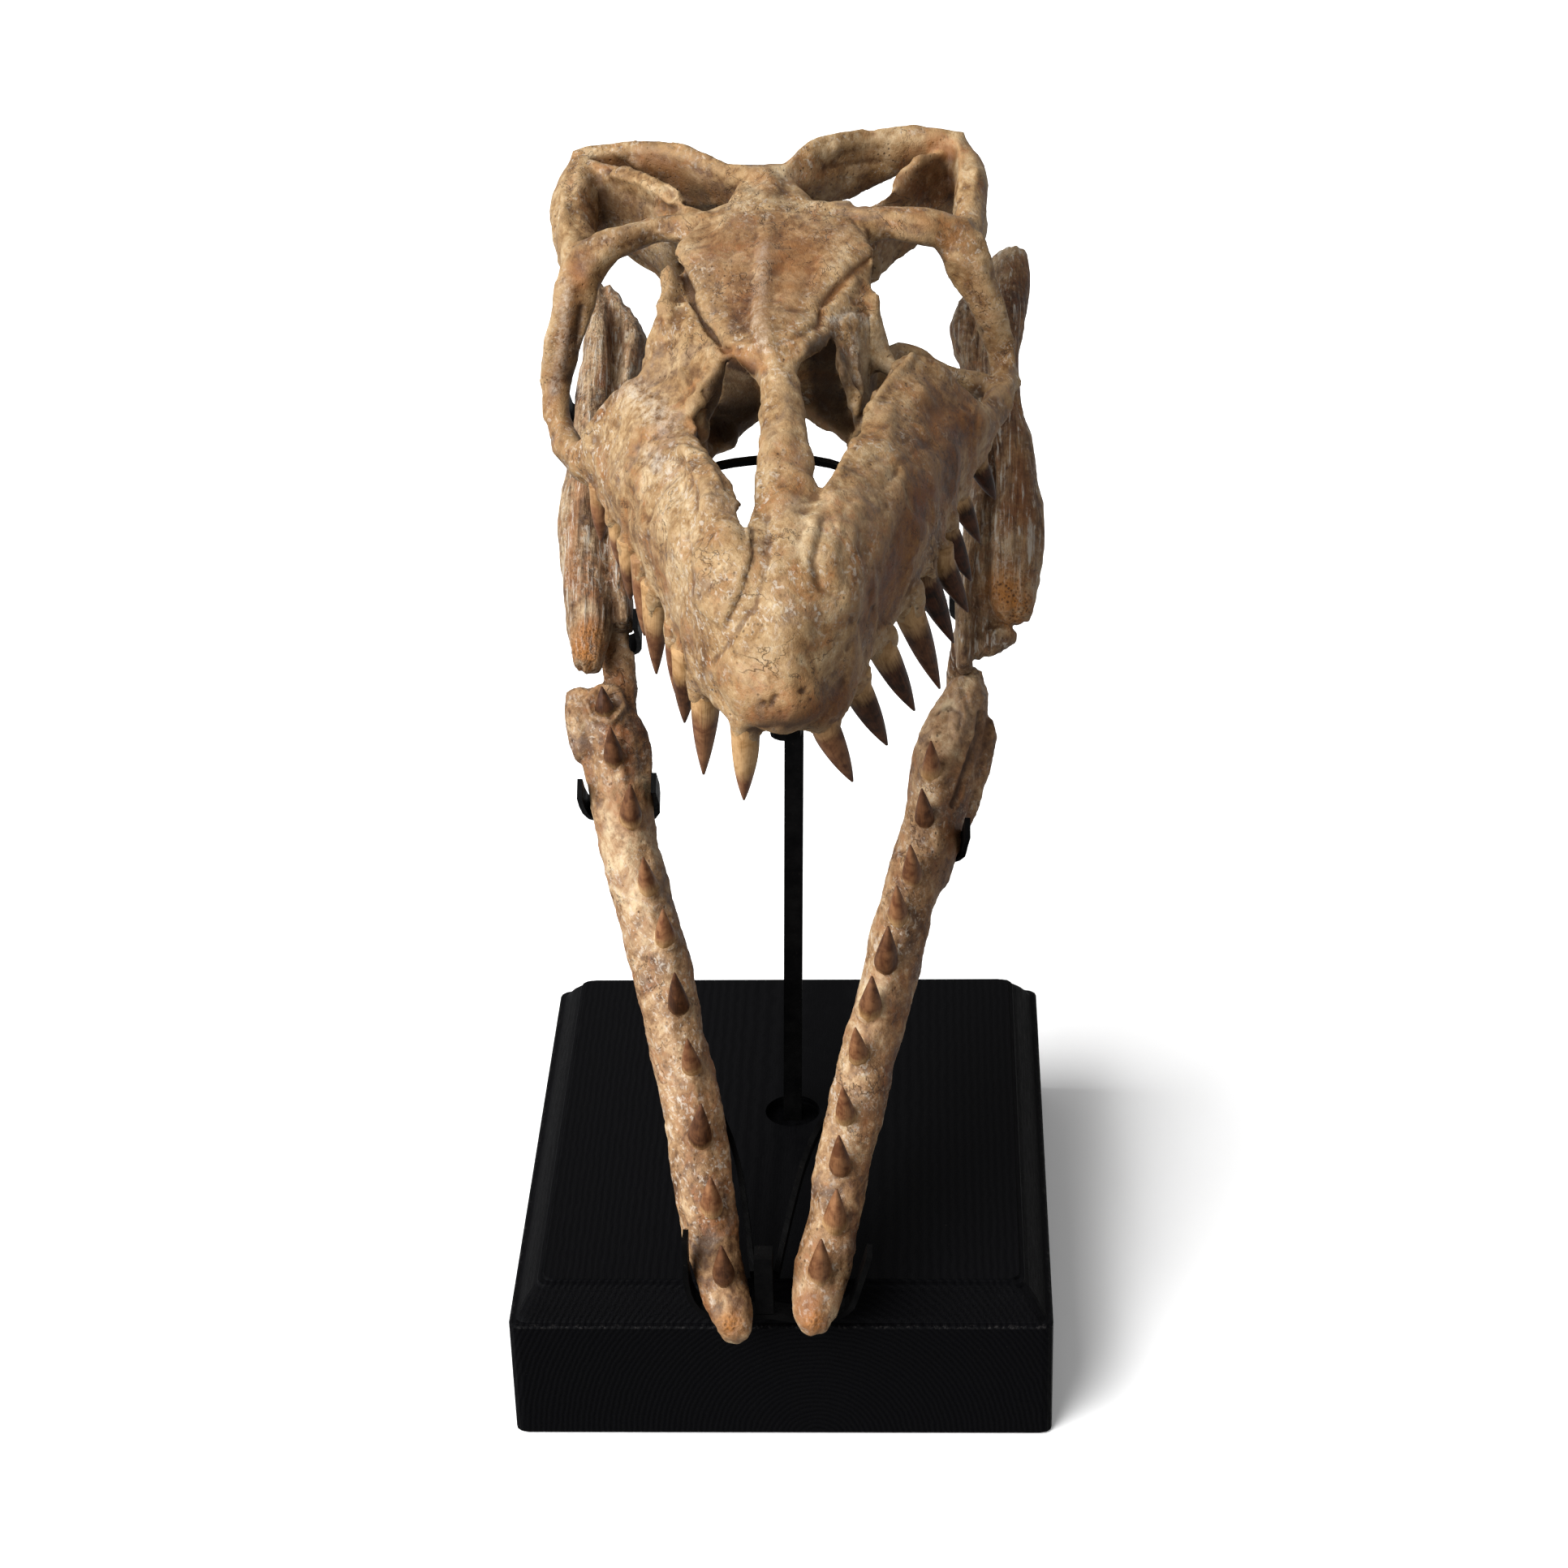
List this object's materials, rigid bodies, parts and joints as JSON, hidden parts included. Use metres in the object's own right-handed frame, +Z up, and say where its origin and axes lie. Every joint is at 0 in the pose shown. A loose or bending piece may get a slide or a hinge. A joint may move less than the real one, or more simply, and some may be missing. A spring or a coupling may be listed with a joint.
{
  "type": "mosasaur skull on stand",
  "caption": "Fossil marine reptile skull with open jaws and curved teeth, held by a thin black armature on a moulded black plinth.",
  "frame": {"origin": "middle of the plinth's flat underside", "axes": "+Z up, +Y from the tip of the snout to the back of the head, +X to the right when looking along +Y"},
  "size_m": [0.3009, 0.5824, 0.6118],
  "materials": {
    "bone": "dry, pitted, mottled tan fossil bone with dark glossy teeth",
    "black_wood": "black stain, satin",
    "black_steel": "black, satin"
  },
  "bodies": {
    "root": {"skull": "bone", "front_jaw_left": "bone", "front_jaw_right": "bone", "rear_jaw_left": "bone", "rear_jaw_right": "bone", "wooden_base": "black_wood", "post": "black_steel", "palate_bar": "black_steel", "skull_crossbar": "black_steel", "jaw_crossbar": "black_steel", "jaw_strap_left": "black_steel", "jaw_strap_right": "black_steel", "front_cradle": "black_steel", "cradle_stem": "black_steel", "mid_clip_left": "black_steel", "mid_clip_right": "black_steel", "rear_clip_left": "black_steel", "rear_clip_right": "black_steel", "upper_clip_left": "black_steel", "upper_clip_right": "black_steel"}
  },
  "joints": []
}
